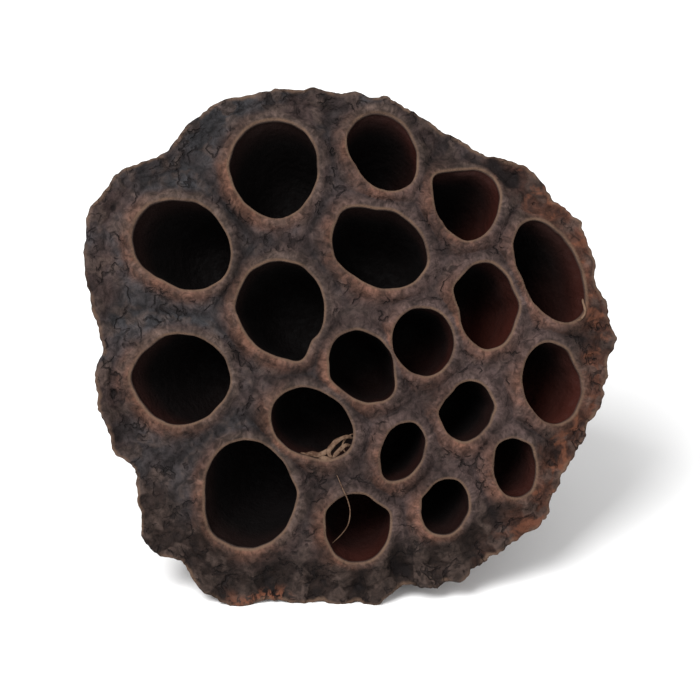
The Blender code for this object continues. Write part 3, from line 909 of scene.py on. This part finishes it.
def skin_material():
    n = Nodes("dried_skin")
    place = n.add("TexCoord").outputs["Object"]
    grain = n.attribute("grain", "Vector")
    into_hole = n.attribute("into_hole")
    down_flank = n.attribute("down_flank")
    broad = n.noise(place, 60.0, 3.0)
    patchy = n.noise(place, 190.0, 5.0, 0.65, 0.4)
    fine = n.noise(place, 900.0, 5.0, 0.7)

    crack = cracks(n, place)
    face = n.mix(n.ramp(into_hole, 0.02, 0.2), web_colour(n, place, grain, patchy, broad, crack), chamber_colour(n))
    flank, streaks = flank_colour(n, grain, patchy, down_flank)
    n.set(n.shader.inputs["Base Color"], n.mix(n.ramp(down_flank, 0.1, 0.8), face, flank))
    n.set(n.shader.inputs["Roughness"], n.ramp(fine, 0.3, 0.7, 0.66, 0.92))
    n.shader.inputs["Specular IOR Level"].default_value = 0.1

    height = n.math("ADD", n.times(fine, 0.45), patchy)
    height = n.math("ADD", height, n.times(streaks, n.ramp(down_flank, 0.2, 1.5, 0.0, 1.2)))
    height = n.math("SUBTRACT", height, n.times(crack, 0.5))
    bump = n.add("Bump", {"Height": height, "Strength": 1.0, "Distance": 0.0008})
    n.set(n.shader.inputs["Normal"], bump.outputs["Normal"])
    return n.material


def membrane_material():
    n = Nodes("dry_membrane")
    place = n.add("TexCoord").outputs["Object"]
    patchy = n.noise(place, 700.0, 4.0, 0.65)
    fine = n.noise(place, 2600.0, 3.0)
    n.set(n.shader.inputs["Base Color"], n.mix(n.ramp(patchy, 0.35, 0.6), MEMBRANE_BROWN, MEMBRANE_STRAW))
    n.set(n.shader.inputs["Roughness"], n.ramp(fine, 0.3, 0.7, 0.6, 0.9))
    n.shader.inputs["Specular IOR Level"].default_value = 0.1
    bump = n.add("Bump", {"Height": fine, "Strength": 0.6, "Distance": 0.0002})
    n.set(n.shader.inputs["Normal"], bump.outputs["Normal"])
    return n.material


def add_floor():
    bpy.ops.mesh.primitive_plane_add(size=6.0, location=(0, 0, 0))
    floor = bpy.context.object
    floor.name = "floor"
    n = Nodes("pale_floor")
    n.shader.inputs["Base Color"].default_value = (0.9, 0.9, 0.9, 1)
    n.shader.inputs["Roughness"].default_value = 0.9
    n.shader.inputs["Specular IOR Level"].default_value = 0.1
    floor.data.materials.append(n.material)


def add_light(name, place, size, watts):
    light = bpy.data.lights.new(name, "AREA")
    light.energy = watts
    light.size = size
    obj = bpy.data.objects.new(name, light)
    obj.location = place
    obj.rotation_euler = (-Vector(place)).to_track_quat("-Z", "Y").to_euler()
    bpy.context.collection.objects.link(obj)


def add_lights():
    world = bpy.data.worlds.new("studio")
    world.use_nodes = True
    world.node_tree.nodes["Background"].inputs["Color"].default_value = (1, 1, 1, 1)
    world.node_tree.nodes["Background"].inputs["Strength"].default_value = 0.75
    bpy.context.scene.world = world
    add_light("softbox_above", (-0.35, -0.45, 0.8), 0.5, 11.0)
    add_light("softbox_front", (0.5, -0.9, 0.5), 0.6, 2.0)


def add_camera():
    camera = bpy.data.cameras.new("camera")
    camera.lens = LENS_MM
    camera.sensor_width = SENSOR_MM
    distance = FRAME_WIDTH_MM * LENS_MM / SENSOR_MM
    azimuth = math.radians(LOOK_AZIMUTH_DEG)
    elevation = math.radians(LOOK_ELEVATION_DEG)
    back = Vector((
        math.sin(azimuth) * math.cos(elevation),
        -math.cos(azimuth) * math.cos(elevation),
        math.sin(elevation),
    ))
    obj = bpy.data.objects.new("camera", camera)
    obj.location = (LOOK_AT_MM + back * distance) * MM
    obj.rotation_euler = (-back).to_track_quat("-Z", "Y").to_euler()
    bpy.context.collection.objects.link(obj)
    bpy.context.scene.camera = obj


def main():
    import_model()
    pod = as_object("pod_skin", build_skin(), skin_material())
    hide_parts("lotus_pod")
    membrane = membrane_material()
    for name, shreds in SHREDS.items():
        as_object(name, build_shreds(shreds), membrane)
    add_floor()
    add_lights()
    add_camera()
    bpy.context.scene.view_settings.view_transform = "Standard"


main()
